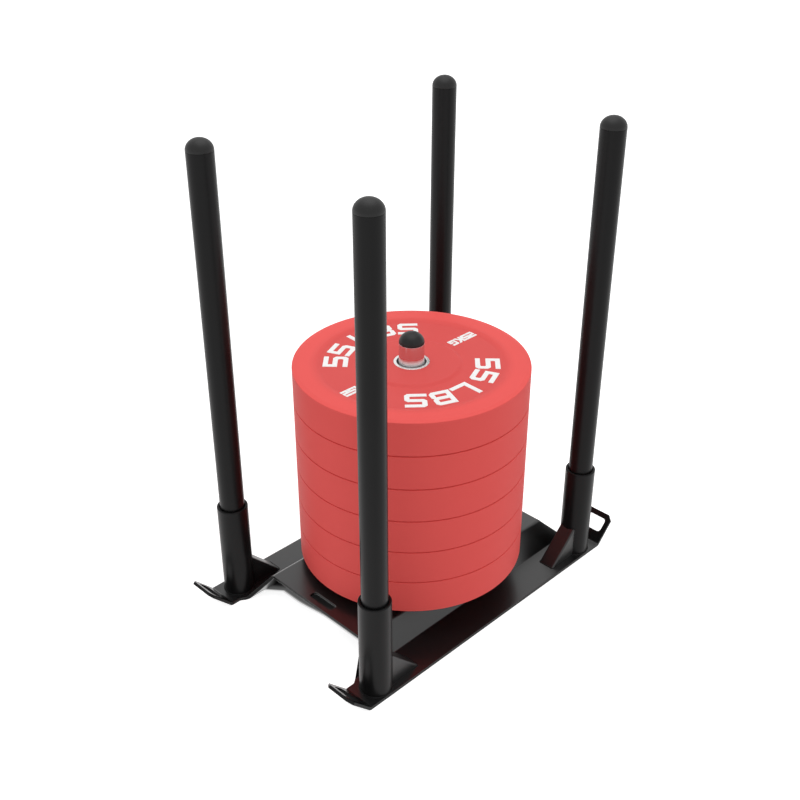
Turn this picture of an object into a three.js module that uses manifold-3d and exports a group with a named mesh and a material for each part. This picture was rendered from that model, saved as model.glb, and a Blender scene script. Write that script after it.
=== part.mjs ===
// Drag sled: one folded steel sheet on two skis, four push poles that lift out of welded
// sockets, and a middle post that holds a stack of bumper plates.
// Millimetres, +Z up, Y along the sled. The origin lies on the ground under the middle.
// Front is the -Y end, left is the -X side.
import * as THREE from 'three';
import { mergeVertices } from 'three/addons/utils/BufferGeometryUtils.js';
import Module from 'manifold-3d';

const wasm = await Module();
wasm.setup();

// Folded base sheet
const sheetThickness = 6;
const bendInnerRadius = 3;
const sledWidth = 469;
const skiLength = 674;
const skiWidth = 67;
const wallFootInset = 6;
const deckLength = 525;
const deckRise = 48.5;
const slopeDegrees = 57;
const slantFootLength = 636;
const slantTopRadius = 10;
const slantFootRadius = 6;

// Pull tabs turned up at the four ski ends
const tabLength = 67;
const tabDegrees = 46;
const tabCornerCut = 10;
const tabSlotWidth = 45;
const tabSlotHeight = 30.5;
const tabSlotRadius = 7;
const tabSlotFromTip = 12;

// Strap slots near both ends of the deck
const deckSlotWidth = 62;
const deckSlotDepth = 16;
const deckSlotRadius = 5;
const deckSlotFromEnd = 12.5;

// Sockets and push poles
const poleFromSkiEnd = 43.3;
const poleDiameter = 48.3;
const poleWall = 3.2;
const poleTubeLength = 909;
const socketDiameter = 60.3;
const socketWall = 5;
const socketHeight = 201;
const socketRimRadius = 2;
const socketBoreBevel = 1;

// Folded braces from the skis up to the sockets
const braceWidth = 35;
const braceSheet = 4;
const braceBendRadius = 2;
const braceReach = 93;
const braceDegrees = 45;

// Domed end caps of the poles and the post
const capPlugLength = 28;
const capPlugClearance = 0.3;
const capEdgeBevel = 0.8;
const capDomeHeight = 20.5;

// Middle post with the collar that carries the plates
const postDiameter = 48.3;
const postWall = 4;
const postAboveStack = 38.5;
const collarFlangeDiameter = 130;
const collarFlangeThickness = 8;
const collarHubDiameter = 96;
const collarHeight = 18.9;
const collarBevel = 2;

// Bumper plates
const plateCount = 6;
const plateDiameter = 450;
const platePitch = 69.55;
const plateEdgeBevelWidth = 9;
const plateEdgeBevelDepth = 2;
const plateRimWidth = 41;
const plateRimSlope = 12;
const plateHubDiameter = 180;
const plateHubSlope = 7;
const plateRecessDepth = 4;
const ringDiameter = 68;
const ringMouthDiameter = 57;
const ringBoreDiameter = 50.8;
const ringMouthDepth = 8;

// Running and seating gaps, and how far a cutter runs past what it cuts
const seatGap = 0.3;
const cutOverrun = 10;

// Facet counts
const bendSteps = 4;
const cornerSteps = 4;
const tubeFacets = 24;
const plateFacets = 36;
const domeSteps = 5;
const rimSteps = 2;
const weldTolerance = 1e-4;

const slopeAngle = THREE.MathUtils.degToRad(slopeDegrees);
const tabAngle = THREE.MathUtils.degToRad(tabDegrees);
const braceAngle = THREE.MathUtils.degToRad(braceDegrees);
const skiTop = sheetThickness;
const deckTop = skiTop + deckRise;
const wallRun = deckRise / Math.tan(slopeAngle);
const deckWidth = sledWidth - 2 * (skiWidth + wallFootInset + wallRun);
const deckFoldX = deckWidth / 2 - (sheetThickness / 2) * Math.tan(slopeAngle / 2);
const footFoldX = deckFoldX + wallRun;
const skiInnerX = sledWidth / 2 - skiWidth;
const skiCentreX = sledWidth / 2 - skiWidth / 2;
const stackBottom = deckTop + collarHeight + seatGap;
const stackTop = stackBottom + plateCount * platePitch;
const plateThickness = platePitch - seatGap;

const black = new THREE.MeshStandardMaterial({ color: 0x1d1d1f, roughness: 0.42, metalness: 0.35 });
const capBlack = new THREE.MeshStandardMaterial({ color: 0x141415, roughness: 0.5, metalness: 0 });
const redRubber = new THREE.MeshStandardMaterial({ color: 0xd9483f, roughness: 0.6, metalness: 0 });
const steel = new THREE.MeshStandardMaterial({ color: 0xd0d2d4, roughness: 0.3, metalness: 1 });
const chrome = new THREE.MeshStandardMaterial({ color: 0xe2e3e5, roughness: 0.12, metalness: 1 });

// Frames that stand an outline drawn in X and Y upright: across the sled, or along it.
const acrossSled = new THREE.Matrix4().makeBasis(
  new THREE.Vector3(1, 0, 0), new THREE.Vector3(0, 0, 1), new THREE.Vector3(0, -1, 0));
const alongSled = new THREE.Matrix4().makeBasis(
  new THREE.Vector3(0, 1, 0), new THREE.Vector3(0, 0, 1), new THREE.Vector3(1, 0, 0));

// A geometry as a closed solid: shared points are merged and empty triangles dropped.
function toSolid(geometry) {
  const bare = geometry.clone();
  bare.deleteAttribute('normal');
  bare.deleteAttribute('uv');
  const merged = mergeVertices(bare, weldTolerance);
  const index = merged.index.array;
  const triangles = [];
  for (let i = 0; i < index.length; i += 3) {
    const [a, b, c] = [index[i], index[i + 1], index[i + 2]];
    if (a !== b && b !== c && c !== a) triangles.push(a, b, c);
  }
  const vertProperties = new Float32Array(merged.attributes.position.array);
  const triVerts = new Uint32Array(triangles);
  return new wasm.Manifold(new wasm.Mesh({ numProp: 3, vertProperties, triVerts }));
}

function toGeometry(solid) {
  const mesh = solid.getMesh();
  const geometry = new THREE.BufferGeometry();
  geometry.setAttribute('position', new THREE.BufferAttribute(mesh.vertProperties, 3));
  geometry.setIndex(new THREE.BufferAttribute(mesh.triVerts, 1));
  geometry.computeVertexNormals();
  return geometry;
}

// A closed outline pushed out along its own Z, centred on zero.
function extrudeCentred(outline, depth) {
  const geometry = new THREE.ExtrudeGeometry(new THREE.Shape(outline), { depth, bevelEnabled: false });
  return geometry.translate(0, 0, -depth / 2);
}

// A profile of [radius, height] points turned round the Z axis.
function turned(profile, facets) {
  const points = profile.map(([radius, height]) => new THREE.Vector2(radius, height));
  return new THREE.LatheGeometry(points, facets).rotateX(Math.PI / 2);
}

function closedProfile(profile) {
  return [...profile, profile[0]];
}

// Points of the arc from angle a to angle b round a centre.
function arcPoints(centreX, centreY, radius, a, b, steps) {
  const points = [];
  for (let i = 0; i <= steps; i += 1) {
    const angle = a + ((b - a) * i) / steps;
    points.push(new THREE.Vector2(centreX + radius * Math.cos(angle), centreY + radius * Math.sin(angle)));
  }
  return points;
}

// A polygon of [x, y, radius] corners, each rounded to its own radius.
function roundedOutline(corners) {
  const points = [];
  corners.forEach(([x, y, radius], i) => {
    const here = new THREE.Vector2(x, y);
    const before = new THREE.Vector2(...corners.at(i - 1).slice(0, 2)).sub(here).normalize();
    const after = new THREE.Vector2(...corners[(i + 1) % corners.length].slice(0, 2)).sub(here).normalize();
    if (radius === 0) {
      points.push(here);
      return;
    }
    const half = Math.acos(before.dot(after)) / 2;
    const inward = before.clone().add(after).normalize();
    const centre = here.clone().addScaledVector(inward, radius / Math.sin(half));
    const start = here.clone().addScaledVector(before, radius / Math.tan(half)).sub(centre);
    const sweep = (Math.PI - 2 * half) * Math.sign(before.cross(after)) * -1;
    const from = start.angle();
    points.push(...arcPoints(centre.x, centre.y, radius, from, from + sweep, cornerSteps));
  });
  return points;
}

function roundedRectangle(width, height, radius) {
  const [w, h] = [width / 2, height / 2];
  return roundedOutline([[-w, -h, radius], [w, -h, radius], [w, h, radius], [-w, h, radius]]);
}

// The cross-section of a bent sheet: its middle line runs through the given fold points,
// and each fold is an arc with the same inner radius.
function bentSheetOutline(folds, thickness, innerRadius) {
  const left = [];
  const right = [];
  const points = folds.map(([x, y]) => new THREE.Vector2(x, y));
  points.forEach((here, i) => {
    const along = points[Math.max(i, 1)].clone().sub(points[Math.max(i, 1) - 1]).normalize();
    const normal = new THREE.Vector2(-along.y, along.x);
    if (i === 0 || i === points.length - 1) {
      left.push(here.clone().addScaledVector(normal, thickness / 2));
      right.push(here.clone().addScaledVector(normal, -thickness / 2));
      return;
    }
    const next = points[i + 1].clone().sub(here).normalize();
    const turn = Math.atan2(along.cross(next), along.dot(next));
    const side = Math.sign(turn);
    const midRadius = innerRadius + thickness / 2;
    const start = here.clone().addScaledVector(along, -midRadius * Math.tan(Math.abs(turn) / 2));
    const centre = start.clone().addScaledVector(normal, side * midRadius);
    const from = start.clone().sub(centre).angle();
    const leftRadius = midRadius - (side * thickness) / 2;
    const rightRadius = midRadius + (side * thickness) / 2;
    left.push(...arcPoints(centre.x, centre.y, leftRadius, from, from + turn, bendSteps));
    right.push(...arcPoints(centre.x, centre.y, rightRadius, from, from + turn, bendSteps));
  });
  return [...right, ...left.reverse()];
}

// Section across the sled: ski, sloping wall, raised deck, sloping wall, ski.
function hatSection() {
  const middle = sheetThickness / 2;
  const outline = bentSheetOutline([
    [-sledWidth / 2, middle],
    [-footFoldX, middle],
    [-deckFoldX, deckTop - middle],
    [deckFoldX, deckTop - middle],
    [footFoldX, middle],
    [sledWidth / 2, middle],
  ], sheetThickness, bendInnerRadius);
  return toSolid(extrudeCentred(outline, skiLength).applyMatrix4(acrossSled));
}

// Plan of the sheet between the tabs: each sloping wall ends on a slant from deck to ski.
function plan() {
  const edge = sledWidth / 2 + cutOverrun;
  const end = skiLength / 2 - sheetThickness;
  const quarter = [
    [deckWidth / 2, deckLength / 2, slantTopRadius],
    [skiInnerX, slantFootLength / 2, slantFootRadius],
    [skiInnerX, end, 0],
    [edge, end, 0],
  ];
  const turnedBack = [...quarter].reverse();
  return roundedOutline([
    ...turnedBack,
    ...quarter.map(([x, y, radius]) => [-x, y, radius]),
    ...turnedBack.map(([x, y, radius]) => [-x, -y, radius]),
    ...quarter.map(([x, y, radius]) => [x, -y, radius]),
  ]);
}

// One ski with its two upturned tabs, seen from the side and pushed out across its width.
function ski(side) {
  const middle = sheetThickness / 2;
  const foldY = skiLength / 2 + middle * Math.tan(tabAngle / 2);
  const straight = tabLength + middle * Math.tan(tabAngle / 2);
  const tipY = foldY + straight * Math.cos(tabAngle);
  const tipZ = middle + straight * Math.sin(tabAngle);
  const outline = bentSheetOutline(
    [[-tipY, tipZ], [-foldY, middle], [foldY, middle], [tipY, tipZ]], sheetThickness, bendInnerRadius);
  const geometry = extrudeCentred(outline, skiWidth).applyMatrix4(alongSled);
  return toSolid(geometry.translate(side * skiCentreX, 0, 0));
}

// An outline drawn on a tab's upper face (x across, y up the slope from the fold), as a cutter.
function tabCutter(outline, side, end) {
  const geometry = extrudeCentred(outline, sheetThickness * 2 + cutOverrun);
  geometry.rotateX(end > 0 ? tabAngle : Math.PI - tabAngle);
  return toSolid(geometry.translate(side * skiCentreX, (end * skiLength) / 2, skiTop));
}

function tabSlot() {
  const middle = tabLength - tabSlotFromTip - tabSlotHeight / 2;
  return roundedRectangle(tabSlotWidth, tabSlotHeight, tabSlotRadius)
    .map((point) => new THREE.Vector2(point.x, point.y + middle));
}

// What comes off one corner of a tab to leave it cut at an angle.
function tabCorner(hand) {
  const edge = skiWidth / 2;
  const cutX = edge - tabCornerCut;
  const cutY = tabLength - tabCornerCut;
  const outline = [
    new THREE.Vector2(cutX, tabLength),
    new THREE.Vector2(edge, cutY),
    new THREE.Vector2(edge + cutOverrun, cutY),
    new THREE.Vector2(edge + cutOverrun, tabLength + cutOverrun),
    new THREE.Vector2(cutX, tabLength + cutOverrun),
  ];
  return outline.map((point) => new THREE.Vector2(hand * point.x, point.y));
}

function deckSlot(end) {
  const outline = roundedRectangle(deckSlotWidth, deckSlotDepth, deckSlotRadius);
  const y = end * (deckLength / 2 - deckSlotFromEnd - deckSlotDepth / 2);
  const geometry = extrudeCentred(outline, sheetThickness + cutOverrun);
  return toSolid(geometry.translate(0, y, deckTop - sheetThickness / 2));
}

function upright(radius, height, bottom) {
  const geometry = new THREE.CylinderGeometry(radius, radius, height, tubeFacets);
  return toSolid(geometry.rotateX(Math.PI / 2).translate(0, 0, bottom + height / 2));
}

function baseSheet() {
  const keep = extrudeCentred(plan(), 2 * (deckTop + cutOverrun));
  let solid = hatSection().intersect(toSolid(keep));
  for (const side of [-1, 1]) solid = solid.add(ski(side));
  for (const end of [-1, 1]) {
    solid = solid.subtract(deckSlot(end));
    for (const side of [-1, 1]) {
      solid = solid.subtract(tabCutter(tabSlot(), side, end));
      for (const hand of [-1, 1]) solid = solid.subtract(tabCutter(tabCorner(hand), side, end));
    }
  }
  const hole = upright(postDiameter / 2 + seatGap, deckTop + cutOverrun, cutOverrun);
  return toGeometry(solid.subtract(hole));
}

// An open tube, standing on height zero.
function tube(diameter, wall, length) {
  const outer = diameter / 2;
  const inner = outer - wall;
  return turned(closedProfile([[inner, 0], [outer, 0], [outer, length], [inner, length]]), tubeFacets);
}

function socket() {
  const outer = socketDiameter / 2;
  const bore = outer - socketWall;
  const rim = arcPoints(
    outer - socketRimRadius, socketHeight - socketRimRadius, socketRimRadius, 0, Math.PI / 2, rimSteps);
  return turned(closedProfile([
    [bore, 0],
    [outer, 0],
    ...rim.map((point) => [point.x, point.y]),
    [bore + socketBoreBevel, socketHeight],
    [bore, socketHeight - socketBoreBevel],
  ]), tubeFacets);
}

// A channel folded from sheet, mitred to the ski below and scribed to the socket behind it.
// Drawn with the socket's axis at the origin, the ski at height zero and the foot along +Y.
function brace() {
  const middle = braceSheet / 2;
  const legX = braceWidth / 2 - middle;
  const depth = braceReach * Math.sin(braceAngle);
  const section = bentSheetOutline(
    [[-legX, -depth], [-legX, -middle], [legX, -middle], [legX, -depth]], braceSheet, braceBendRadius);
  const length = braceReach / Math.cos(braceAngle) + 2 * cutOverrun;
  const slope = new THREE.Matrix4().makeBasis(
    new THREE.Vector3(1, 0, 0),
    new THREE.Vector3(0, Math.sin(braceAngle), Math.cos(braceAngle)),
    new THREE.Vector3(0, -Math.cos(braceAngle), Math.sin(braceAngle)));
  const channel = extrudeCentred(section, length)
    .translate(0, 0, length / 2 - cutOverrun)
    .applyMatrix4(slope)
    .translate(0, braceReach, 0);
  const keepWidth = braceWidth + cutOverrun;
  const keepHeight = braceReach + cutOverrun;
  const keep = new THREE.BoxGeometry(keepWidth, keepHeight, keepHeight)
    .translate(0, keepHeight / 2, keepHeight / 2);
  const scribe = upright(socketDiameter / 2 + seatGap, keepHeight + cutOverrun, -cutOverrun / 2);
  return toGeometry(toSolid(channel).intersect(toSolid(keep)).subtract(scribe));
}

// A push-in cap: a flattened dome as wide as the tube over a plug in its bore.
function cap(diameter, wall) {
  const outer = diameter / 2;
  const plug = outer - wall - capPlugClearance;
  const dome = arcPoints(0, 0, outer, 0, Math.PI / 2, domeSteps).slice(1, -1);
  return turned([
    [0, -capPlugLength],
    [plug, -capPlugLength],
    [plug, 0],
    [outer - capEdgeBevel, 0],
    [outer, capEdgeBevel],
    ...dome.map((point) => [point.x, (point.y * capDomeHeight) / outer + capEdgeBevel]),
    [0, capDomeHeight + capEdgeBevel],
  ], tubeFacets);
}

function collar() {
  const bore = postDiameter / 2 + seatGap;
  const flange = collarFlangeDiameter / 2;
  const hub = collarHubDiameter / 2;
  return turned(closedProfile([
    [bore, 0],
    [flange, 0],
    [flange, collarFlangeThickness - collarBevel],
    [flange - collarBevel, collarFlangeThickness],
    [hub, collarFlangeThickness],
    [hub, collarHeight - collarBevel],
    [hub - collarBevel, collarHeight],
    [bore, collarHeight],
  ]), tubeFacets);
}

// One plate: rim and hub stand proud of a recessed band on both faces.
function plate() {
  const bore = (ringDiameter / 2 + seatGap) / Math.cos(Math.PI / plateFacets);
  const hub = plateHubDiameter / 2;
  const outer = plateDiameter / 2;
  const rim = outer - plateRimWidth;
  const recess = plateThickness - plateRecessDepth;
  return turned(closedProfile([
    [bore, 0],
    [hub, 0],
    [hub + plateHubSlope, plateRecessDepth],
    [rim - plateRimSlope, plateRecessDepth],
    [rim, 0],
    [outer - plateEdgeBevelWidth, 0],
    [outer, plateEdgeBevelDepth],
    [outer, plateThickness - plateEdgeBevelDepth],
    [outer - plateEdgeBevelWidth, plateThickness],
    [rim, plateThickness],
    [rim - plateRimSlope, recess],
    [hub + plateHubSlope, recess],
    [hub, plateThickness],
    [bore, plateThickness],
  ]), plateFacets);
}

// The steel ring in a plate's middle, with a wider counterbore in both faces.
function plateRing() {
  const outer = ringDiameter / 2;
  const mouth = ringMouthDiameter / 2;
  const bore = ringBoreDiameter / 2;
  return turned(closedProfile([
    [bore, ringMouthDepth],
    [mouth, ringMouthDepth],
    [mouth, 0],
    [outer, 0],
    [outer, plateThickness],
    [mouth, plateThickness],
    [mouth, plateThickness - ringMouthDepth],
    [bore, plateThickness - ringMouthDepth],
  ]), tubeFacets);
}

const sled = new THREE.Group();

function addPiece(name, geometry, material, x, y, z) {
  const mesh = new THREE.Mesh(geometry, material);
  mesh.name = name;
  mesh.position.set(x, y, z);
  sled.add(mesh);
  return mesh;
}

addPiece('base_sheet', baseSheet(), black, 0, 0, 0);

for (const end of [-1, 1]) {
  for (const side of [-1, 1]) {
    const corner = `${end < 0 ? 'front' : 'back'}_${side < 0 ? 'left' : 'right'}`;
    const x = side * skiCentreX;
    const y = end * (skiLength / 2 - poleFromSkiEnd);
    const poleFoot = skiTop + seatGap;
    addPiece(`${corner}_socket`, socket(), black, x, y, skiTop);
    const piece = addPiece(`${corner}_brace`, brace(), black, x, y, skiTop);
    if (end > 0) piece.rotation.z = Math.PI;
    addPiece(`${corner}_pole`, tube(poleDiameter, poleWall, poleTubeLength), black, x, y, poleFoot);
    addPiece(`${corner}_pole_cap`, cap(poleDiameter, poleWall), capBlack, x, y,
      poleFoot + poleTubeLength + seatGap);
  }
}

const postBottom = deckTop - sheetThickness;
const postLength = stackTop + postAboveStack - postBottom;
addPiece('post', tube(postDiameter, postWall, postLength), chrome, 0, 0, postBottom);
addPiece('post_cap', cap(postDiameter, postWall), capBlack, 0, 0, postBottom + postLength + seatGap);
addPiece('post_collar', collar(), black, 0, 0, deckTop);

for (let i = 0; i < plateCount; i += 1) {
  const z = stackBottom + i * platePitch;
  addPiece(`plate_${i + 1}`, plate(), redRubber, 0, 0, z);
  addPiece(`plate_${i + 1}_ring`, plateRing(), steel, 0, 0, z);
}

export default sled;
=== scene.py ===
# %% [markdown]
# # A drag sled with six rubber plates
#
# The real sled is one folded steel sheet on two skis, with four push poles standing in welded
# sockets and a bright post that holds a stack of red rubber plates. A CAD model already fixes
# every size and every moving body. This lesson gives that model its looks: each CAD solid gets
# a smoother piece in the same place, with a finish made from nodes alone.

# %% Load the fixed frame
import math

import bmesh
import bpy
from mathutils import Matrix, Vector


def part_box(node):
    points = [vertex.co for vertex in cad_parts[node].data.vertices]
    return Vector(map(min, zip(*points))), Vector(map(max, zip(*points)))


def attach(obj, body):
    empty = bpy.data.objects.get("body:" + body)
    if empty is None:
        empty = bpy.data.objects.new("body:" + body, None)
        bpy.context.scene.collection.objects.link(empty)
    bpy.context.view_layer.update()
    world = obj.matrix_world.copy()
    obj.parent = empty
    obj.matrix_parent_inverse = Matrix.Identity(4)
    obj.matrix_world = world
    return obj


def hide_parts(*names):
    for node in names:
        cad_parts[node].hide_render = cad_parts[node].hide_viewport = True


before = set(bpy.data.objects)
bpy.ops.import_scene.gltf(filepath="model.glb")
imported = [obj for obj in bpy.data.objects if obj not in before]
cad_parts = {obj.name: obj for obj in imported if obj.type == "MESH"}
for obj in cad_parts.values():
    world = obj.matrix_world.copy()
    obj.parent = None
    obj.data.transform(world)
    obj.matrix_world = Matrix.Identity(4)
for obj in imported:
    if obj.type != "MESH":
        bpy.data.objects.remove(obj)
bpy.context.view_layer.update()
MM = 0.001

# %% [markdown]
# ## The camera
#
# The photograph looks down on one corner of the sled, 30 degrees above the floor. The camera
# could be placed by eye, but the poles are long and lean apart in the picture, so a small error
# would show at their tips. Its place and lens come from a fit to the edges of the poles and the
# plates, with the plates' full size of 450 mm as the scale.

# %% Camera
camera = bpy.data.objects.new("camera", bpy.data.cameras.new("camera"))
bpy.context.scene.collection.objects.link(camera)
bpy.context.scene.camera = camera
camera.location = (1.2869, -1.3176, 1.4676)
toward_camera = Vector((0.6126, -0.6126, 0.4994))
camera.rotation_mode = "QUATERNION"
camera.rotation_quaternion = (-toward_camera).to_track_quat("-Z", "Y")
camera.data.sensor_width = 36
camera.data.lens = 49.885
print("camera stands", round(camera.location.length, 2), "m from the sled's foot")

# %% [markdown]
# ## Sums of sockets
#
# A finish is mostly arithmetic on textures: take one grain, add half of another, turn the sum
# round. Clicking Math nodes together hides that arithmetic. A small class that wraps a socket
# lets the sum be written as it would be on paper, and lays the nodes down behind it.


# %% A socket that can be added and multiplied
class Wire:
    """An output of a node; sums and products of wires and numbers add Math nodes."""

    def __init__(self, network, socket):
        self.network = network
        self.socket = socket

    def __add__(self, other):
        return self.network.math("ADD", self, other)

    def __radd__(self, other):
        return self.network.math("ADD", other, self)

    def __sub__(self, other):
        return self.network.math("SUBTRACT", self, other)

    def __rsub__(self, other):
        return self.network.math("SUBTRACT", other, self)

    def __mul__(self, other):
        return self.network.math("MULTIPLY", self, other)

    def __rmul__(self, other):
        return self.network.math("MULTIPLY", other, self)


class Network:
    """A node tree, with one method that adds any node and a few that add a common one."""

    def __init__(self, tree):
        self.tree = tree

    def node(self, kind, settings=None, sockets=None, output=0):
        """Adds a node of any kind, sets it, feeds its sockets and wraps one of its outputs."""
        made = self.tree.nodes.new(kind)
        for name, value in (settings or {}).items():
            setattr(made, name, value)
        for name, value in (sockets or {}).items():
            self.feed(made.inputs[name], value)
        return Wire(self, made.outputs[output])

    def feed(self, socket, value):
        """Links a wire to the socket, or sets a plain value on it."""
        if isinstance(value, Wire):
            self.tree.links.new(value.socket, socket)
        else:
            socket.default_value = value

    def math(self, operation, *terms):
        return self.node("ShaderNodeMath", {"operation": operation}, dict(enumerate(terms)))

    def place(self):
        return self.node("ShaderNodeTexCoord", output="Object")

    def coordinate(self, axis):
        return self.node("ShaderNodeSeparateXYZ", {}, {"Vector": self.place()}, output=axis)

    def from_middle(self):
        """Distance from the upright line through the middle of the sled."""
        x, y = self.coordinate("X"), self.coordinate("Y")
        return self.math("SQRT", x * x + y * y)

    def step(self, value, start, end):
        """0 up to `start` and 1 from `end` on, with a soft rise between."""
        sockets = {"Value": value, "From Min": start, "From Max": end}
        return self.node("ShaderNodeMapRange", {"interpolation_type": "SMOOTHSTEP"}, sockets)

    def seen(self):
        """1 for the rays that look at something: from the camera, or by way of a shiny surface."""
        kinds = ("Is Camera Ray", "Is Glossy Ray", "Is Transmission Ray")
        rays = [self.node("ShaderNodeLightPath", output=kind) for kind in kinds]
        return rays[0] + rays[1] + rays[2]

    def noise(self, scale, detail=2.0, stretch=(1, 1, 1)):
        """A cloudy value round a half, with about `scale` clouds to the metre."""
        stretched = self.node("ShaderNodeMapping", {}, {"Vector": self.place(), "Scale": stretch})
        sockets = {"Vector": stretched, "Scale": scale, "Detail": detail}
        return self.node("ShaderNodeTexNoise", {}, sockets)

    def blend(self, mask, first, second):
        """The `first` colour where the mask is 0, and the `second` where it is 1."""
        sockets = {"Factor": mask, 6: (*first, 1), 7: (*second, 1)}
        return self.node("ShaderNodeMix", {"data_type": "RGBA"}, sockets, output=2)


class Finish(Network):
    """A material, and the slot of the record that it belongs to."""

    def __init__(self, slot, name=None):
        self.slot = slot
        self.material = bpy.data.materials.new(name or slot)
        self.material.use_nodes = True
        super().__init__(self.material.node_tree)
        self.surface = self.tree.nodes["Principled BSDF"]

    def set(self, **values):
        for name, value in values.items():
            self.feed(self.surface.inputs[name.replace("_", " ")], value)

    def bump(self, height, strength, distance):
        sockets = {"Height": height, "Strength": strength, "Distance": distance}
        self.set(Normal=self.node("ShaderNodeBump", {}, sockets))


print("sums of wires add Math nodes")

# %% [markdown]
# ## Black powder coat
#
# Powder coat is plastic melted onto steel. It is nearly black, but it never looks like flat
# black: it carries a fine orange peel that breaks up reflections, and it shines more at a
# shallow angle, which is why the deck looks grey and the poles look black. A plain dark colour
# with a glossy surface and two grains of bump gives both. Sheet takes the coat more smoothly
# than drawn tubes do, so one recipe makes finishes that differ in gloss. On the base the powder
# also flows out into a clear skin. It draws back from the cut edges, and straps and hooks rub it
# off the tabs, so the skin is a coat layer of its own, and its weight goes to nothing there.


# %% Black powder coat
def powder_coat(name, dullness, ior):
    coat = Finish("black_powder_coat", name)
    peel = coat.noise(260, 1.0)
    grit = coat.noise(1500, 2.0)
    patches = coat.noise(9, 3.0)
    coat.set(
        Base_Color=coat.blend(patches, (0.0045, 0.0045, 0.0048), (0.0085, 0.0083, 0.0085)),
        Roughness=dullness + 0.10 * patches + 0.05 * grit,
        IOR=ior,
    )
    coat.bump(0.7 * peel + 0.3 * grit, 0.10, 0.3 * MM)
    print(name, "has", len(coat.tree.nodes), "nodes")
    return coat


powder = powder_coat("black_powder_coat", dullness=0.26, ior=1.24)
brace_coat = powder_coat("brace_powder_coat", dullness=0.30, ior=1.56)
sheet_coat = powder_coat("sheet_powder_coat", dullness=0.16, ior=1.24)

# %% Clear skin of the sheet
CUT_EDGE, BROAD_FACE = 0.2, 0.4  # how far the steel faces up or down: 0 is upright, 1 is level
RUB_START, RUB_END = 336 * MM, 342 * MM
outward = sheet_coat.node("ShaderNodeTexCoord", output="Normal")
upward = sheet_coat.node("ShaderNodeSeparateXYZ", {}, {"Vector": outward}, output="Z")
broad = sheet_coat.step(sheet_coat.math("ABSOLUTE", upward), CUT_EDGE, BROAD_FACE)
along_sled = sheet_coat.math("ABSOLUTE", sheet_coat.coordinate("Y"))
rubbed = sheet_coat.step(along_sled, RUB_START, RUB_END)
sheet_coat.set(Coat_Weight=broad * (1 - rubbed), Coat_Roughness=0.3, Coat_IOR=1.55)
print("the skin ends", round(RUB_START / MM), "mm from the middle, where the tabs turn up")

# %% [markdown]
# ## Cap plastic, chrome and turned steel
#
# The caps are moulded plastic, a little duller than the coat. The post is chromed, so nearly
# all that shows on it is what stands round it: only faint streaks along its length tell that
# it was polished. Steel rings slide down it all day, so it is scuffed dull up to a little over
# the stack, and stays a mirror only near the cap. The rings were turned on a lathe, which leaves
# fine circles. Only their faces and wide mouths are bright steel: deeper down, the bore is
# painted near black as painted shade, so it reads as a gap round the post.

# %% Cap plastic
plastic = Finish("cap_plastic")
pores = plastic.noise(1800, 2.0)
clouds = plastic.noise(60, 2.0)
plastic.set(
    Base_Color=plastic.blend(clouds, (0.006, 0.006, 0.006), (0.011, 0.011, 0.011)),
    Roughness=0.38 + 0.12 * pores,
    IOR=1.38,
)
plastic.bump(pores, 0.12, 0.25 * MM)
print("cap plastic:", len(plastic.tree.nodes), "nodes")

# %% Chrome of the post
SCUFF_END, SCUFF_FULL = 16 * MM, 8 * MM
chrome = Finish("post_chrome")
streaks = chrome.noise(700, 2.0, (1, 1, 0.02))
breath = chrome.noise(14, 2.0)
stack_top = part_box("plate_6")[1].z
ragged_height = chrome.coordinate("Z") + 4 * MM * streaks
scuffed = chrome.step(ragged_height, stack_top + SCUFF_END, stack_top + SCUFF_FULL)
duller = 0.3 * breath + 0.7 * scuffed
chrome.set(
    Base_Color=chrome.blend(duller, (0.70, 0.71, 0.72), (0.86, 0.86, 0.87)),
    Metallic=1.0,
    Roughness=0.13 + 0.12 * streaks + 0.36 * scuffed,
)
chrome.bump(streaks, 0.05, 0.1 * MM)
print("chrome:", len(chrome.tree.nodes), "nodes")

# %% Turned steel of the rings
RING_BORE, RING_MOUTH, MOUTH_DEPTH = 25.4 * MM, 28.5 * MM, 8 * MM
LATHE_WAVE = 9000  # radians to the metre, so a circle every 0.7 mm
PITCH = stack_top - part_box("plate_5")[1].z
turned_steel = Finish("ring_steel")
reach = turned_steel.from_middle()
circles = turned_steel.math("SINE", reach * LATHE_WAVE)
stains = turned_steel.noise(90, 3.0)
face = turned_steel.step(reach, RING_MOUTH + 0.2 * MM, RING_MOUTH + 0.6 * MM)
depth = turned_steel.math("MODULO", stack_top + MM - turned_steel.coordinate("Z"), PITCH) - MM
mouth = turned_steel.step(depth, MOUTH_DEPTH - 0.2 * MM, MOUTH_DEPTH - 0.8 * MM)
# Below the mouth the bore is painted near black: painted shade for the deep gap round the post.
stains_and_bore_shade = turned_steel.math("MAXIMUM", face, mouth) * (0.9 + 0.1 * stains)
turned_steel.set(
    Base_Color=turned_steel.blend(stains_and_bore_shade, (0.03, 0.03, 0.03), (0.88, 0.88, 0.87)),
    Metallic=1.0,
    Roughness=0.16 + 0.14 * stains,
)
turned_steel.bump(circles, 0.08, 0.05 * MM)
print("turned steel:", len(turned_steel.tree.nodes), "nodes")
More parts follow.
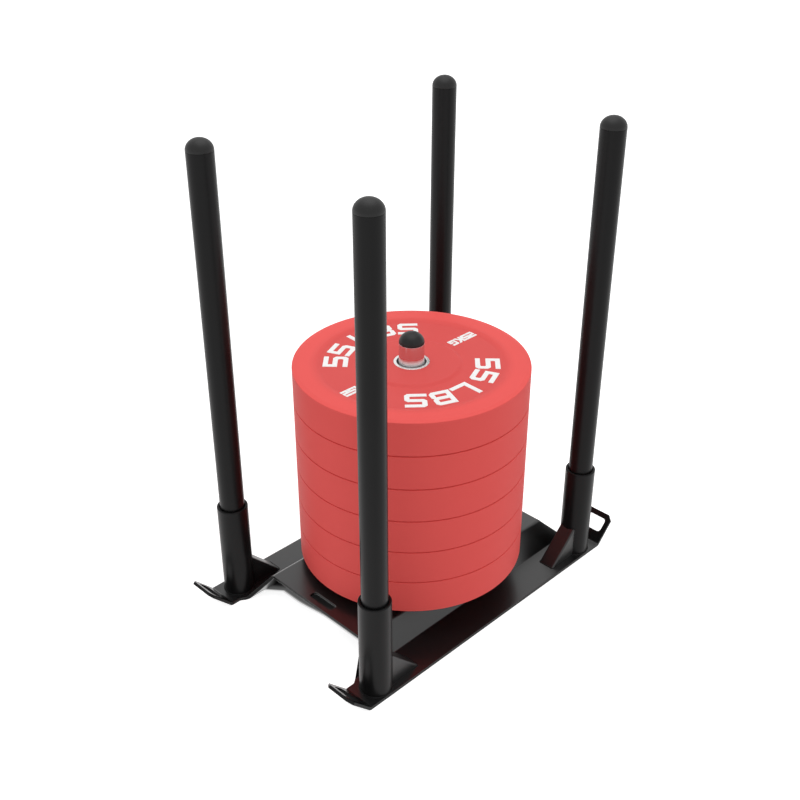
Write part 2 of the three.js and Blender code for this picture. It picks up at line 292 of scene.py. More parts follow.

# %% [markdown]
# ## Red rubber and its white numbers
#
# A bumper plate is cast from coloured rubber. Its red is even from a step away, with a fine
# dull grain close by. Inside the rim the red is painted darker, as painted shade in the sunk
# channel, and the hub takes the same darker red; the rim and the sides stay brighter. The
# numbers are moulded on in white. Two grains of noise drive a small change of colour and a
# low bump.

# %% Red rubber
RIM_START, RIM_FULL = 168 * MM, 198 * MM
rubber = Finish("plate_rubber")
grain = rubber.noise(900, 3.0)
mottle = rubber.noise(22, 3.0)
# Inside the rim the red is painted darker: painted shade in the sunk channel, hub included; mottle
# and grain are the rubber's own tone.
rim = rubber.step(rubber.from_middle(), RIM_START, RIM_FULL)
mottle_and_channel_shade = 0.15 * mottle + 0.05 * grain + 0.8 * rim
rubber.set(
    Base_Color=rubber.blend(mottle_and_channel_shade, (0.69, 0.083, 0.078), (0.85, 0.101, 0.093)),
    Roughness=0.52 + 0.12 * grain,
    IOR=1.28,
)
rubber.bump(grain + 0.5 * mottle, 0.10, 0.3 * MM)
print("rubber:", len(rubber.tree.nodes), "nodes")

# %% White numbers
white = Finish("plate_rubber", "number_white")
chalk = white.noise(700, 2.0)
white.set(
    Base_Color=white.blend(chalk, (0.88, 0.88, 0.87), (0.94, 0.94, 0.93)),
    Roughness=0.42 + 0.10 * chalk,
)
white.bump(chalk, 0.08, 0.2 * MM)
print("white:", len(white.tree.nodes), "nodes")

# %% [markdown]
# ## Making a piece
#
# Every piece is a mesh in the sled's own metres, so it needs no placing. It has to say two
# things to the frame: which body it moves with, and which CAD solids it stands for. It wears
# the material of its finish.


# %% One piece from points and faces
def add_piece(name, points, faces, finish, body, *stands_for):
    """Adds a mesh that wears `finish`, moves with `body` and takes the place of CAD nodes."""
    mesh = bpy.data.meshes.new(name)
    mesh.from_pydata([tuple(point) for point in points], [], faces)
    mesh.shade_smooth()
    mesh.materials.append(finish.material)
    piece = bpy.data.objects.new(name, mesh)
    bpy.context.scene.collection.objects.link(piece)
    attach(piece, body)
    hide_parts(*stands_for)
    print(f"{name}: {len(faces)} faces, moves with {body}")
    return piece


# %% [markdown]
# ## Turned pieces
#
# Tubes, caps, rings and plates are all round, so each is one profile turned round an upright
# line. Real edges are never sharp: every corner of a profile carries its own small radius. A
# point is set just beyond each rounded corner, so that smooth shading stays within the corner
# and the flat faces beside it stay flat.


# %% Round the corners of a profile
def rounded(corners, steps=5, hold=0.3):
    """Points of a closed outline of (x, y, radius) corners, each rounded to its radius.

    A point at most `hold` radii beyond each rounding keeps the face beside it flat.
    """
    points = []
    for i, (x, y, radius) in enumerate(corners):
        here = Vector((x, y))
        if not radius:
            points.append(here)
            continue
        back = (Vector(corners[i - 1][:2]) - here).normalized()
        ahead = (Vector(corners[(i + 1) % len(corners)][:2]) - here).normalized()
        half = back.angle(ahead) / 2
        centre = here + (back + ahead).normalized() * radius / math.sin(half)
        run = radius / math.tan(half)
        start = here + back * run
        turn = math.copysign(math.pi - 2 * half, -back.cross(ahead))
        beyond = min(hold * radius, 0.2 * run + 0.2 * MM)
        points.append(start + back * beyond)
        for step in range(steps + 1):
            spoke = start - centre
            spoke.rotate(Matrix.Rotation(turn * step / steps, 2))
            points.append(centre + spoke)
        points.append(here + ahead * (run + beyond))
    return points


ON_THE_LINE = 1e-7


def turn_round(profile, centre, segments, closed=True):
    """Points and faces of a profile of (radius, height) points turned round an upright line."""
    points, faces, rings = [], [], []
    for radius, height in profile:
        count = segments if radius > ON_THE_LINE else 1
        rings.append([len(points) + s for s in range(count)])
        for s in range(count):
            angle = 2 * math.pi * s / segments
            x = centre.x + radius * math.cos(angle)
            y = centre.y + radius * math.sin(angle)
            points.append((x, y, height))
    for low, high in zip(rings, rings[1:] + rings[:1] if closed else rings[1:]):
        for s in range(segments):
            t = (s + 1) % segments
            lower = (low[s % len(low)], low[t % len(low)])
            upper = (high[t % len(high)], high[s % len(high)])
            corners = list(dict.fromkeys(lower + upper))
            if len(corners) > 2:
                faces.append(corners)
    return points, faces


def middle_of(node):
    low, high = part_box(node)
    return (low + high) / 2


one_corner = rounded([(0, 0, 0), (1, 0, 0.1), (1, 1, 0)])
print("a profile corner is rounded with", len(one_corner) - 2, "points")

# %% [markdown]
# ## The folded base sheet
#
# The base is one steel sheet: a raised deck, a sloping wall down each side, two flat skis, and
# a slotted tab turned up at each ski end. It could be cut from solid blocks, but then the folds
# would have to be faked. Here it is made as the workshop makes it: the flat blank first, with
# its outline, its slots and its rounded edges, and then each point of it is moved by the folds.
# Along the sled the blank is unrolled, because the tabs turn up. Across the sled a point keeps
# its place as seen from above and only rises, which puts walls and deck right with less work.

# %% Sizes of the sheet
SHEET = 6 * MM
BEND = 6 * MM
SLED_EDGE = 234.5 * MM
SKI_INNER = 167.5 * MM
SKI_MIDDLE = 201 * MM
SKI_END = 337 * MM
WALL_FOOT_INSET = 6 * MM
DECK_END = 262.5 * MM
SLANT_END = 318 * MM
DECK_RISE = 48.5 * MM
SLOPE = math.radians(57)
DECK_EDGE = SKI_INNER - WALL_FOOT_INSET - DECK_RISE / math.tan(SLOPE)
TAB_ANGLE = math.radians(46)
TAB_LENGTH = 67 * MM
TAB_CUT = 10 * MM
TAB_LIP = 12 * MM
SLOT_WIDE, SLOT_TALL, SLOT_ROUND = 45 * MM, 30.5 * MM, 7 * MM
DECK_SLOT_Y, DECK_SLOT_WIDE, DECK_SLOT_TALL, DECK_SLOT_ROUND = 242 * MM, 62 * MM, 16 * MM, 5 * MM
POST_HOLE = 24.45 * MM
EDGE_RADIUS = 0.9 * MM
FOLD_STEPS = 8

sheet_low, sheet_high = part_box("base_sheet")
print("the CAD sheet is", round((sheet_high.y - sheet_low.y) / MM, 1), "mm long")


# %% Where the folds put a point of the blank
def deck_fold_x(height):
    return DECK_EDGE - SHEET / 2 * math.tan(SLOPE / 2) + height * math.tan(SLOPE / 2)


def across_height(x, height):
    """How high a point at `x` stands that lies `height` off the middle of the sheet."""
    x = abs(x)
    deck = SHEET / 2 + DECK_RISE + height
    ski = SHEET / 2 + height
    fold_x = deck_fold_x(height)
    foot_x = fold_x + DECK_RISE / math.tan(SLOPE)
    upper, lower = BEND + height, BEND - height
    upper_run, lower_run = upper * math.tan(SLOPE / 2), lower * math.tan(SLOPE / 2)
    if x <= fold_x - upper_run:
        return deck
    if x <= fold_x + upper_run * math.cos(SLOPE):
        return deck - upper + math.sqrt(upper**2 - (x - fold_x + upper_run) ** 2)
    if x < foot_x - lower_run * math.cos(SLOPE):
        return deck - (x - fold_x) * math.tan(SLOPE)
    if x < foot_x + lower_run:
        return ski + lower - math.sqrt(lower**2 - (x - foot_x - lower_run) ** 2)
    return ski


TAB_SETBACK = (BEND - SHEET / 2) * math.tan(TAB_ANGLE / 2)
TAB_START = SKI_END - TAB_SETBACK
TAB_FLAT = TAB_START + BEND * TAB_ANGLE
TAB_TIP = TAB_FLAT + TAB_LENGTH - TAB_SETBACK


def folded(x, y, height):
    """A point of the blank, `height` off its middle, after all the folds."""
    out = abs(y)
    if out <= TAB_START:
        return Vector((x, y, across_height(x, height)))
    angle = min((out - TAB_START) / BEND, TAB_ANGLE)
    run = max(out - TAB_FLAT, 0)
    along = TAB_START + (BEND - height) * math.sin(angle) + run * math.cos(TAB_ANGLE)
    up = SHEET / 2 + BEND - (BEND - height) * math.cos(angle) + run * math.sin(TAB_ANGLE)
    return Vector((x, math.copysign(along, y), up))


tip = folded(SKI_MIDDLE, TAB_TIP, SHEET / 2)
print("a tab reaches", round(tip.y / MM, 1), "mm out and", round(tip.z / MM, 1), "mm up")


# %% The blank's outline and its openings
def rectangle(x, y, width, height, radius):
    w, h = width / 2, height / 2
    corners = ((x - w, y - h), (x + w, y - h), (x + w, y + h), (x - w, y + h))
    return [(*corner, radius) for corner in corners]


def blank_loops():
    """The outline first, then each opening, all running anticlockwise."""
    quarter = [
        (SLED_EDGE, TAB_TIP - TAB_CUT, 1.5 * MM),
        (SLED_EDGE - TAB_CUT, TAB_TIP, 1.5 * MM),
        (SKI_INNER + TAB_CUT, TAB_TIP, 1.5 * MM),
        (SKI_INNER, TAB_TIP - TAB_CUT, 1.5 * MM),
        (SKI_INNER, SLANT_END, 6 * MM),
        (DECK_EDGE, DECK_END, 10 * MM),
    ]
    half = quarter + [(-x, y, radius) for x, y, radius in reversed(quarter)]
    outline = half + [(x, -y, radius) for x, y, radius in reversed(half)]
    slot_y = TAB_TIP - TAB_LIP - SLOT_TALL / 2
    holes = [
        rectangle(side * SKI_MIDDLE, end * slot_y, SLOT_WIDE, SLOT_TALL, SLOT_ROUND)
        for side in (-1, 1)
        for end in (-1, 1)
    ]
    holes += [
        rectangle(0, end * DECK_SLOT_Y, DECK_SLOT_WIDE, DECK_SLOT_TALL, DECK_SLOT_ROUND)
        for end in (-1, 1)
    ]
    angles = [math.pi * i / 32 for i in range(64)]
    post_hole = [Vector((math.cos(angle), math.sin(angle))) * POST_HOLE for angle in angles]
    return [rounded(outline, 7, 0.1)] + [rounded(hole, 6, 0.1) for hole in holes] + [post_hole]


loops = blank_loops()
print("the blank has", len(loops) - 1, "openings")


# %% Give the blank its thickness and rounded edges
def offset_loop(loop, inward, hole):
    """The same loop moved into the sheet by `inward`."""
    moved = []
    for i, here in enumerate(loop):
        back = (here - loop[i - 1]).normalized()
        ahead = (loop[(i + 1) % len(loop)] - here).normalized()
        normal = Vector((-back.y - ahead.y, back.x + ahead.x)).normalized()
        stretch = inward / max(0.3, math.sqrt((1 + back.dot(ahead)) / 2))
        moved.append(here + normal * stretch * (-1 if hole else 1))
    return moved


def edge_section():
    """(inward, height) steps from the flat top, round the edge, to the flat bottom."""
    half = SHEET / 2
    top = [(EDGE_RADIUS * 1.8, half)]
    for step in range(4):
        angle = math.pi / 2 * step / 3
        inward = EDGE_RADIUS * (1 - math.sin(angle))
        top.append((inward, half - EDGE_RADIUS * (1 - math.cos(angle))))
    return top + [(inward, -height) for inward, height in reversed(top)]


def blank_mesh():
    mesh = bmesh.new()
    top_edges, bottom_edges = [], []
    for index, loop in enumerate(loops):
        rows = []
        for inward, height in edge_section():
            ring = offset_loop(loop, inward, index > 0)
            rows.append([mesh.verts.new((p.x, p.y, height)) for p in ring])
        for upper, lower in zip(rows, rows[1:]):
            for i in range(len(loop)):
                j = (i + 1) % len(loop)
                mesh.faces.new((upper[j], upper[i], lower[i], lower[j]))
        for edges, row in ((top_edges, rows[0]), (bottom_edges, rows[-1])):
            edges += [mesh.edges.get((row[i], row[(i + 1) % len(row)])) for i in range(len(row))]
    for edges in (top_edges, bottom_edges):
        bmesh.ops.triangle_fill(mesh, edges=edges, use_beauty=True)
    bmesh.ops.recalc_face_normals(mesh, faces=mesh.faces)
    return mesh


blank = blank_mesh()
print("flat blank:", len(blank.faces), "faces")


# %% Score the blank along every fold, then fold it
def fold_lines():
    """Places across and along the sled where the surface starts to bend, bends or stops."""
    across, along = set(), set()
    for height in (-SHEET / 2, SHEET / 2):
        fold_x = deck_fold_x(height)
        foot_x = fold_x + DECK_RISE / math.tan(SLOPE)
        for centre, radius, sign in ((fold_x, BEND + height, 1), (foot_x, BEND - height, -1)):
            run = radius * math.tan(SLOPE / 2)
            angles = [SLOPE * i / FOLD_STEPS for i in range(FOLD_STEPS + 1)]
            steps = [sign * (radius * math.sin(angle) - run) for angle in angles]
            steps += [steps[0] - sign * MM, steps[-1] + sign * MM]
            across.update(round(centre + step, 7) for step in steps)
    along.update(TAB_START + BEND * TAB_ANGLE * i / FOLD_STEPS for i in range(FOLD_STEPS + 1))
    along.update((TAB_START - MM, TAB_FLAT + MM))
    return sorted(across), sorted(along)


def score(mesh, axis, place):
    point, normal = Vector((0, 0, 0)), Vector((0, 0, 0))
    point[axis], normal[axis] = place, 1
    parts = [*mesh.verts, *mesh.edges, *mesh.faces]
    bmesh.ops.bisect_plane(mesh, geom=parts, dist=1e-7, plane_co=point, plane_no=normal)


across_lines, along_lines = fold_lines()
for sign in (-1, 1):
    for place in across_lines:
        score(blank, 0, sign * place)
    for place in along_lines:
        score(blank, 1, sign * place)
for vertex in blank.verts:
    vertex.co = folded(*vertex.co)
blank.verts.index_update()
sheet_points = [vertex.co.copy() for vertex in blank.verts]
sheet_faces = [[vertex.index for vertex in face.verts] for face in blank.faces]
blank.free()
add_piece("folded_sheet", sheet_points, sheet_faces, sheet_coat, "base", "base_sheet")

# %% [markdown]
# ## Welds
#
# The sockets and braces are welded to the skis, and a weld is never a clean line: the welder's
# hand lays it down in small ripples. A thin tube is swept along each seam, and its radius
# swells and shrinks a little with every ripple.

# %% A rippled bead along a seam
RIPPLE = 3.2 * MM
SOCKET_BEAD, BRACE_BEAD = 1.6 * MM, 1.1 * MM


def resample(path, step, closed):
    ends = path + path[:1] if closed else path
    points = []
    for start, end in zip(ends, ends[1:]):
        count = max(1, round((end - start).length / step))
        points += [start.lerp(end, i / count) for i in range(count)]
    return points if closed else points + [ends[-1]]


def bead(path, radius, closed, sides=8):
    """A tube along `path` whose radius swells with every ripple, four points to a ripple."""
    points, faces, rings = [], [], []
    line = resample(path, RIPPLE / 4, closed)
    normal = None
    for i, here in enumerate(line):
        before = line[i - 1] if closed or i else here
        after = line[(i + 1) % len(line)] if closed or i + 1 < len(line) else here
        along = (after - before).normalized()
        if normal is None:
            normal = along.orthogonal().normalized()
        normal = (normal - along * normal.dot(along)).normalized()
        other = along.cross(normal)
        swell = radius * (1 + 0.14 * math.cos(i * math.pi / 2) + 0.05 * math.sin(i * 0.37))
        rings.append(range(len(points), len(points) + sides))
        for s in range(sides):
            angle = 2 * math.pi * s / sides
            points.append(here + (normal * math.cos(angle) + other * math.sin(angle)) * swell)
    for low, high in zip(rings, [*rings[1:], rings[0]] if closed else rings[1:]):
        for s in range(sides):
            t = (s + 1) % sides
            faces.append((low[s], low[t], high[t], high[s]))
    if not closed:
        faces += [list(reversed(rings[0])), list(rings[-1])]
    return points, faces


def circle(centre, radius, height, count=64):
    angles = [2 * math.pi * i / count for i in range(count)]
    spokes = [Vector((math.cos(angle), math.sin(angle), 0)) * radius for angle in angles]
    return [Vector((centre.x, centre.y, height)) + spoke for spoke in spokes]


print("a bead ripples every", round(RIPPLE / MM, 1), "mm")

# %% [markdown]
# ## Braces
#
# Each brace is a steel channel folded from sheet. It leans from the ski up to the socket: the
# foot is cut flat to the ski and the top is scribed round the tube. Every line of the channel
# that runs along its length therefore starts on a plane and ends on a cylinder, so the whole
# shape can be strung between those two cuts with no boolean at all.

# %% String a brace between the ski and the socket
BRACE_WIDTH = 35 * MM
BRACE_REACH = 93 * MM
BRACE_FOLD = 3.5 * MM
BRACE_SLOPE = math.radians(45)
SKI_TOP = 6 * MM


def brace_section(depth):
    """(across, depth under the web) points from one flange's root over to the other's."""
    half = BRACE_WIDTH / 2
    side = [(half, depth * (1 - i / 10) + BRACE_FOLD * i / 10) for i in range(10)]
    fold = []
    for i in range(7):
        angle = math.pi / 2 * i / 6
        across = half - BRACE_FOLD * (1 - math.cos(angle))
        fold.append((across, BRACE_FOLD * (1 - math.sin(angle))))
    right = side + [(half, BRACE_FOLD + MM)] + fold + [(half - BRACE_FOLD - MM, 0.0)]
    return right + [(-x, d) for x, d in reversed(right)]


def brace_piece(corner, centre, facing, socket_radius):
    """Adds the brace of a corner; returns the lines where its foot and its top are welded."""
    half = BRACE_WIDTH / 2
    sin, cos = math.sin(BRACE_SLOPE), math.cos(BRACE_SLOPE)
    deepest = (BRACE_REACH - math.sqrt(socket_radius**2 - half**2)) * sin
    section = brace_section(deepest)
    points, faces, rows = [], [], 8
    for across, depth in section:
        scribe = math.sqrt(socket_radius**2 - across**2)
        foot = depth * cos / sin
        top = (BRACE_REACH - sin * depth - scribe) / cos
        for row in range(rows + 1):
            t = foot + (top - foot) * row / rows
            out = BRACE_REACH - cos * t - sin * depth
            up = sin * t - cos * depth
            points.append((centre.x + across, centre.y + facing * out, SKI_TOP + up))
    for i in range(len(section) - 1):
        for row in range(rows):
            a, b = i * (rows + 1) + row, (i + 1) * (rows + 1) + row
            corners = (a, b, b + 1, a + 1) if facing > 0 else (a, a + 1, b + 1, b)
            faces.append(corners)
    name = f"{corner}_brace"
    add_piece(f"{name}_channel", points, faces, brace_coat, "base", name)
    feet = range(0, len(points), rows + 1)
    return [Vector(points[i]) for i in feet], [Vector(points[i + rows]) for i in feet]


print("a brace leans at", round(math.degrees(BRACE_SLOPE)), "degrees")

# %% [markdown]
# ## Sockets and push poles
#
# A socket is a short thick tube with a soft rounded mouth, and the pole stands loose inside it
# with about a millimetre of air all round. That thin dark ring is what makes the pair read as
# two parts, so it is left open. The pole is a plain tube under a domed plastic cap.

# %% A tube and its cap, from the sizes in the frame
SOCKET_WALL, POLE_WALL, POST_WALL = 5 * MM, 3.2 * MM, 4 * MM
SOCKET_RIM, THIN_RIM = 2 * MM, 0.2 * MM
DOME, LIP = 20.5 * MM, 0.8 * MM
DOME_STEPS = 24


def tube_sizes(node):
    """The radius, foot and top of a round node."""
    low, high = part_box(node)
    return (high.x - low.x) / 2, low.z, high.z


def tube(name, node, centre, wall, rim, finish, body, segments=72):
    outer, bottom, top = tube_sizes(node)
    inner = outer - wall
    corners = [
        (inner, bottom, 0.3 * MM),
        (outer, bottom, 0.3 * MM),
        (outer, top, rim),
        (inner, top, rim / 2),
    ]
    add_piece(name, *turn_round(rounded(corners), centre, segments), finish, body, node)


def dome_cap(name, node, centre, wall, body):
    """A flattened dome over a thin lip; the plug below it hides in the tube."""
    outer, bottom, top = tube_sizes(node)
    plug = outer - wall - 0.3 * MM
    seat = top - DOME - LIP
    profile = [(0, bottom), (plug - MM, bottom), (plug, bottom + MM), (plug, seat)]
    for inward, up in ((0.2, 0), (0.06, 0.06), (0, 0.2)):
        profile.append((outer - inward * MM, seat + up * MM))
    for i in range(DOME_STEPS + 1):
        angle = math.pi / 2 * i / DOME_STEPS
        profile.append((outer * math.cos(angle), seat + LIP + DOME * math.sin(angle)))
    add_piece(name, *turn_round(profile, centre, 72, closed=False), plastic, body, node)


print("a dome stands", round((DOME + LIP) / MM, 1), "mm over its tube")

# %% Four corners of the sled
for corner in ("front_left", "front_right", "back_left", "back_right"):
    socket, pole = f"{corner}_socket", f"{corner}_pole"
    centre, outer = middle_of(socket), tube_sizes(socket)[0]
    facing = 1 if centre.y < 0 else -1
    tube(f"{socket}_tube", socket, centre, SOCKET_WALL, SOCKET_RIM, powder, "base")
    tube(f"{pole}_tube", pole, centre, POLE_WALL, THIN_RIM, powder, pole)
    dome_cap(f"{pole}_dome", f"{pole}_cap", centre, POLE_WALL, pole)
    foot_line, top_line = brace_piece(corner, centre, facing, outer)
    seam = circle(centre, outer + 0.2 * MM, SKI_TOP)
    add_piece(f"{socket}_weld", *bead(seam, SOCKET_BEAD, True), powder, "base")
    for end, line in (("foot", foot_line), ("top", top_line)):
        add_piece(f"{corner}_brace_{end}_weld", *bead(line, BRACE_BEAD, False), powder, "base")

# %% [markdown]
# ## The middle post
#
# The post is a chromed tube that stands through the deck, with a stepped collar round its foot
# that keeps the stack off the steel. Its top wears the same domed cap as the poles.

# %% Post, cap and collar
COLLAR_BORE, COLLAR_NECK, FLANGE_HEIGHT = 24.5 * MM, 48 * MM, 8 * MM
post_centre = Vector((0, 0, 0))
tube("post_tube", "post", post_centre, POST_WALL, THIN_RIM, chrome, "base", 96)
dome_cap("post_dome", "post_cap", post_centre, POST_WALL, "base")
flange, collar_low, collar_high = tube_sizes("post_collar")
collar_corners = [
    (COLLAR_BORE, collar_low, 0.3 * MM),
    (flange, collar_low, 0.5 * MM),
    (flange, collar_low + FLANGE_HEIGHT, 2 * MM),
    (COLLAR_NECK, collar_low + FLANGE_HEIGHT, 2 * MM),
    (COLLAR_NECK, collar_high, 2 * MM),
    (COLLAR_BORE, collar_high, 0.5 * MM),
]
collar = turn_round(rounded(collar_corners), post_centre, 96)
add_piece("post_collar_turned", *collar, powder, "base", "post_collar")

# %% [markdown]
# ## Plates and rings
#
# All six plates come from one mould. Each face has a raised rim, a raised hub and a shallow
# channel between them, with long soft slopes from one to the next. The rim's outer edge is
# eased by a wide, low chamfer, and it is this that leaves a thin dark line where two plates
# meet. A steel ring with a counterbored mouth is moulded into the middle.

# %% A plate's and a ring's profile
PLATE_BORE = 34.2 * MM
CHANNEL_DEPTH = 4 * MM
HUB_EDGE, CHANNEL_START, CHANNEL_END, RIM_EDGE = 90 * MM, 97 * MM, 172 * MM, 184 * MM


def plate_profile(outer, low, high):
    """Anticlockwise corners of (radius, height, rounding) of a plate between two heights."""
    face = [
        (HUB_EDGE, 0, 6 * MM),
        (CHANNEL_START, CHANNEL_DEPTH, 6 * MM),
        (CHANNEL_END, CHANNEL_DEPTH, 14 * MM),
        (RIM_EDGE, 0, 14 * MM),
    ]
    below = [(radius, low + depth, turn) for radius, depth, turn in face]
    above = [(radius, high - depth, turn) for radius, depth, turn in reversed(face)]
    edge = [
        (outer - 4 * MM, low, 2 * MM),
        (outer, low + 0.7 * MM, 0.6 * MM),
        (outer, high - 1.6 * MM, 1.2 * MM),
        (outer - 9 * MM, high, 8 * MM),
    ]
    bore = [(PLATE_BORE, height, 0.4 * MM) for height in (low, high)]
    return [bore[0], *below, *edge, *above, bore[1]]


def ring_profile(outer, low, high):
    """The same for a ring, which widens to its mouth at both ends."""
    return [
        (RING_BORE, low + MOUTH_DEPTH, 0.4 * MM),
        (RING_MOUTH, low + MOUTH_DEPTH, 0.5 * MM),
        (RING_MOUTH, low, 0.5 * MM),
        (outer, low, 0.4 * MM),
        (outer, high, 0.4 * MM),
        (RING_MOUTH, high, 0.5 * MM),
        (RING_MOUTH, high - MOUTH_DEPTH, 0.5 * MM),
        (RING_BORE, high - MOUTH_DEPTH, 0.4 * MM),
    ]


print("a plate's channel is", round(CHANNEL_DEPTH / MM), "mm deep")

# %% Six plates with their rings
for number in range(1, 7):
    plate, ring = f"plate_{number}", f"plate_{number}_ring"
    disc = turn_round(rounded(plate_profile(*tube_sizes(plate))), post_centre, 160)
    add_piece(f"{plate}_rubber", *disc, rubber, plate, plate)
    insert = turn_round(rounded(ring_profile(*tube_sizes(ring))), post_centre, 96)
    add_piece(f"{plate}_steel", *insert, turned_steel, plate, ring)

# %% [markdown]
# ## Numbers on the plates
#
# A plate carries its weight in white: here the pounds in large figures on two sides, and the
# kilograms in small ones between them. A font file would do, but the blocky figures of a mould
# are easier to draw as outlines on a unit square, and their corners can be cut as a mould
# maker cuts them. Each outline is a filled curve, given a little thickness and a soft edge.

# %% Outlines of the figures
WIDE, STROKE, CUT = 0.86, 0.2, 0.12
NARROW = WIDE - STROKE
EASED = STROKE + 0.04
FIVE = [
    (0, 0), (WIDE - CUT, 0), (WIDE, CUT), (WIDE, 0.62 - CUT), (WIDE - CUT, 0.62), (STROKE, 0.62),
    (STROKE, 1 - STROKE), (WIDE, 1 - STROKE), (WIDE, 1), (0, 1), (0, 0.42), (NARROW - 0.05, 0.42),
    (NARROW, 0.37), (NARROW, STROKE + 0.05), (NARROW - 0.05, STROKE), (0, STROKE),
]  # fmt: skip
FIGURES = {
    "5": [FIVE],
    "2": [[(WIDE - x, y) for x, y in reversed(FIVE)]],
    "L": [[(0, 0), (WIDE, 0), (WIDE, STROKE), (STROKE, STROKE), (STROKE, 1), (0, 1)]],
    "B": [
        [(0, 0), (WIDE - CUT, 0), (WIDE, CUT), (WIDE, 0.42), (WIDE - 0.08, 0.5), (WIDE, 0.58),
         (WIDE, 1 - CUT), (WIDE - CUT, 1), (0, 1)],
        [(STROKE, STROKE), (STROKE, 0.4), (NARROW, 0.4), (NARROW, STROKE)],
        [(STROKE, 0.6), (STROKE, 1 - STROKE), (NARROW, 1 - STROKE), (NARROW, 0.6)],
    ],
    "K": [[(0, 0), (STROKE, 0), (STROKE, 0.33), (0.31, 0.43), (WIDE - 0.28, 0), (WIDE, 0),
           (0.45, 0.56), (WIDE, 1), (WIDE - 0.29, 1), (STROKE, 0.6), (STROKE, 1), (0, 1)]],
    "G": [[(CUT, 0), (WIDE, 0), (WIDE, 0.54), (0.42, 0.54), (0.42, 0.37), (NARROW, 0.37),
           (NARROW, STROKE), (EASED, STROKE), (STROKE, EASED), (STROKE, 1 - EASED),
           (EASED, 1 - STROKE), (WIDE, 1 - STROKE), (WIDE, 1), (CUT, 1), (0, 1 - CUT),
           (0, CUT)]],
    "S": [[(0, 0), (WIDE - CUT, 0), (WIDE, CUT), (WIDE, 0.6 - CUT), (WIDE - CUT, 0.6),
           (STROKE, 0.6), (STROKE, 1 - STROKE), (WIDE, 1 - STROKE), (WIDE, 1), (CUT, 1),
           (0, 1 - CUT), (0, 0.4 + CUT), (CUT, 0.4), (NARROW, 0.4), (NARROW, STROKE),
           (0, STROKE)]],
}  # fmt: skip
print("figures drawn:", " ".join(FIGURES))

# %% Set the figures round the plate
POUNDS_REACH, POUNDS_SIZE, POUNDS_SWELL = 143 * MM, 47 * MM, -0.25 * MM
POUNDS = list(zip("55LBS", (43.5, 23.5, -2.5, -22.5, -42.5)))
KILOGRAMS_REACH, KILOGRAMS_PITCH = 168 * MM, 17.2 * MM
KILOGRAMS_WIDE, KILOGRAMS_TALL, KILOGRAMS_SWELL = 17.5 * MM, 19 * MM, 0.45 * MM


def placed(figure, middle, up, wide, tall):
    """A figure's outlines round `middle`, with its top towards `up`."""
    across, along = Vector((up.y, -up.x)) * wide, up * tall
    return [
        [middle + across * (x - WIDE / 2) + along * (y - 0.5) for x, y in outline]
        for outline in FIGURES[figure]
    ]


def pounds():
    outlines = []
    for side in (0, 180):
        for figure, degrees in POUNDS:
            angle = math.radians(side + degrees)
            up = Vector((math.cos(angle), math.sin(angle)))
            outlines += placed(figure, up * POUNDS_REACH, up, POUNDS_SIZE, POUNDS_SIZE)
    return outlines


def kilograms():
    outlines = []
    for end in (-1, 1):
        for i, figure in enumerate("25KG"):
            middle = Vector((0, end * (KILOGRAMS_REACH - KILOGRAMS_PITCH * i)))
            up = Vector((end, 0))
            outlines += placed(figure, middle, up, KILOGRAMS_WIDE, KILOGRAMS_TALL)
    return outlines


print("outlines to fill:", len(pounds()) + len(kilograms()))

# %% Fill the figures and lay them in the channel
FIGURE_HALF = 0.3 * MM
FIGURE_BEVEL = 0.25 * MM


def cut_out(outlines, swell):
    """Points and faces of filled outlines, each made fatter by `swell`, with a soft edge."""
    curve = bpy.data.curves.new("figures", "CURVE")
    curve.dimensions = "2D"
    curve.fill_mode = "BOTH"
    curve.extrude = FIGURE_HALF
    curve.bevel_depth = FIGURE_BEVEL
    curve.bevel_resolution = 2
    curve.offset = swell
    for outline in outlines:
        spline = curve.splines.new("POLY")
        spline.points.add(len(outline) - 1)
        for point, place in zip(spline.points, outline):
            point.co = (place.x, place.y, 0, 1)
        spline.use_cyclic_u = True
    drawn = bpy.data.objects.new("figures", curve)
    bpy.context.scene.collection.objects.link(drawn)
    filled = drawn.evaluated_get(bpy.context.evaluated_depsgraph_get())
    mesh = bpy.data.meshes.new_from_object(filled)
    bpy.data.objects.remove(drawn)
    faces = [list(face.vertices) for face in mesh.polygons]
    return [vertex.co.copy() for vertex in mesh.vertices], faces


def figures_piece(plate, height):
    points, faces = cut_out(pounds(), POUNDS_SWELL)
    small_points, small_faces = cut_out(kilograms(), KILOGRAMS_SWELL)
    faces += [[index + len(points) for index in face] for face in small_faces]
    points = [point + Vector((0, 0, height)) for point in points + small_points]
    piece = add_piece(f"{plate}_figures", points, faces, white, plate)
    piece.data.set_sharp_from_angle(angle=math.radians(40))


for number in range(1, 7):
    plate = f"plate_{number}"
    figures_piece(plate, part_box(plate)[1].z - CHANNEL_DEPTH + FIGURE_BEVEL)
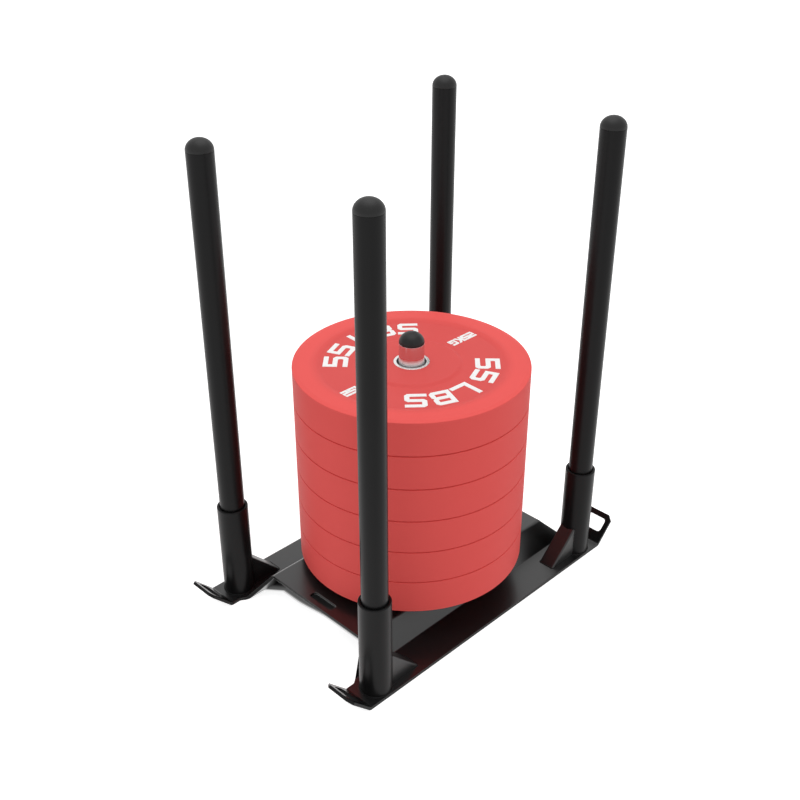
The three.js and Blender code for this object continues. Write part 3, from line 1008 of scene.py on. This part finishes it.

# %% [markdown]
# ## Floor and light
#
# The sled stands on a pale floor that runs into a white background, with only a soft shadow
# where the steel is close to the ground. More light would whiten the floor and bleach the
# plates with it. Instead the floor and the sky are bright only to the rays that look at them:
# straight from the camera, or by way of a shiny surface. Under the deck that extra brightness
# would shine up through the slots, so below the sled the floor is painted dark in both colour
# and glow, a painted shadow, with a fringe at both ends that is a little less dark. The dark
# part stops short of the deck's ends and widens with the slanted walls. On the right it stops
# 9 mm sooner, because the shadow in the photograph reaches further out under the left of the
# deck.

# %% Where the floor is dark
# Below the sled the floor is painted dark: a painted shadow, with a lighter fringe at the deck's
# ends.
DARK_STOP, DARK_SHIFT = 25.5 * MM, 9 * MM
SHIFT_BAND, FRINGE_BAND, SOFT_EDGE = (-90 * MM, 0), (-25 * MM, -8 * MM), (-5 * MM, 4 * MM)
FRINGE = 0.09
SLANT_SHARE = 0.55
WIDENING = SLANT_SHARE * (SLANT_END - DECK_END) / (SKI_INNER - DECK_EDGE)
floor_finish = Finish(None, "floor_white")
sideways, lengthways = floor_finish.coordinate("X"), floor_finish.coordinate("Y")
aside = floor_finish.math("ABSOLUTE", sideways)
ahead = floor_finish.math("ABSOLUTE", lengthways) - (DECK_END - DARK_STOP)
widened = WIDENING * floor_finish.math("MAXIMUM", aside - DECK_EDGE, 0)
past_deck = ahead - widened + DARK_SHIFT * floor_finish.step(sideways, *SHIFT_BAND)
past_dark = floor_finish.math("MAXIMUM", aside - SKI_INNER, past_deck)
outside = floor_finish.step(past_dark, *SOFT_EDGE)
in_fringe = floor_finish.step(past_deck, *FRINGE_BAND)
clear_of_painted_shadow = (1 - FRINGE) * outside + FRINGE * in_fringe
print("the floor is dark up to", round((DECK_END - DARK_STOP) / MM), "mm from the middle")

# %% Floor
FAR = 40
floor_finish.set(
    # Under the sled both the colour and the glow go dark: painted shadow.
    Base_Color=floor_finish.blend(clear_of_painted_shadow, (0.08, 0.08, 0.08), (0.7, 0.7, 0.7)),
    Emission_Color=floor_finish.blend(clear_of_painted_shadow, (0, 0, 0), (1, 1, 1)),
    Emission_Strength=0.8 * floor_finish.seen(),
    Roughness=1.0,
    Specular_IOR_Level=0.0,
)
floor_mesh = bpy.data.meshes.new("floor")
floor_corners = [(-FAR, -FAR, 0), (FAR, -FAR, 0), (FAR, FAR, 0), (-FAR, FAR, 0)]
floor_mesh.from_pydata(floor_corners, [], [(0, 1, 2, 3)])
floor_mesh.materials.append(floor_finish.material)
floor = bpy.data.objects.new("floor", floor_mesh)
bpy.context.scene.collection.objects.link(floor)
print("floor shows white and still takes a shadow")

# %% Sky
SKY_LIGHT = 0.85
world = bpy.data.worlds.new("studio")
bpy.context.scene.world = world
world.use_nodes = True
sky = Network(world.node_tree)
background = sky.tree.nodes["Background"]
sky.feed(background.inputs["Color"], (1, 1, 1, 1))
sky.feed(background.inputs["Strength"], SKY_LIGHT + (1 - SKY_LIGHT) * sky.seen())
print("sky lights at", SKY_LIGHT, "and shows at 1")

# %% Lamp
lamp = bpy.data.objects.new("lamp_overhead", bpy.data.lights.new("lamp_overhead", "AREA"))
lamp.data.shape = "DISK"
lamp.data.size = 2.4
lamp.data.energy = 18
lamp.location = (-0.2, 0.2, 3.0)
stack_middle = Vector((0, 0, 0.3))
lamp.rotation_mode = "QUATERNION"
lamp.rotation_quaternion = (stack_middle - Vector(lamp.location)).to_track_quat("-Z", "Y")
bpy.context.scene.collection.objects.link(lamp)
bpy.context.scene.view_settings.view_transform = "Standard"
print("one broad lamp", lamp.location.z, "m overhead")
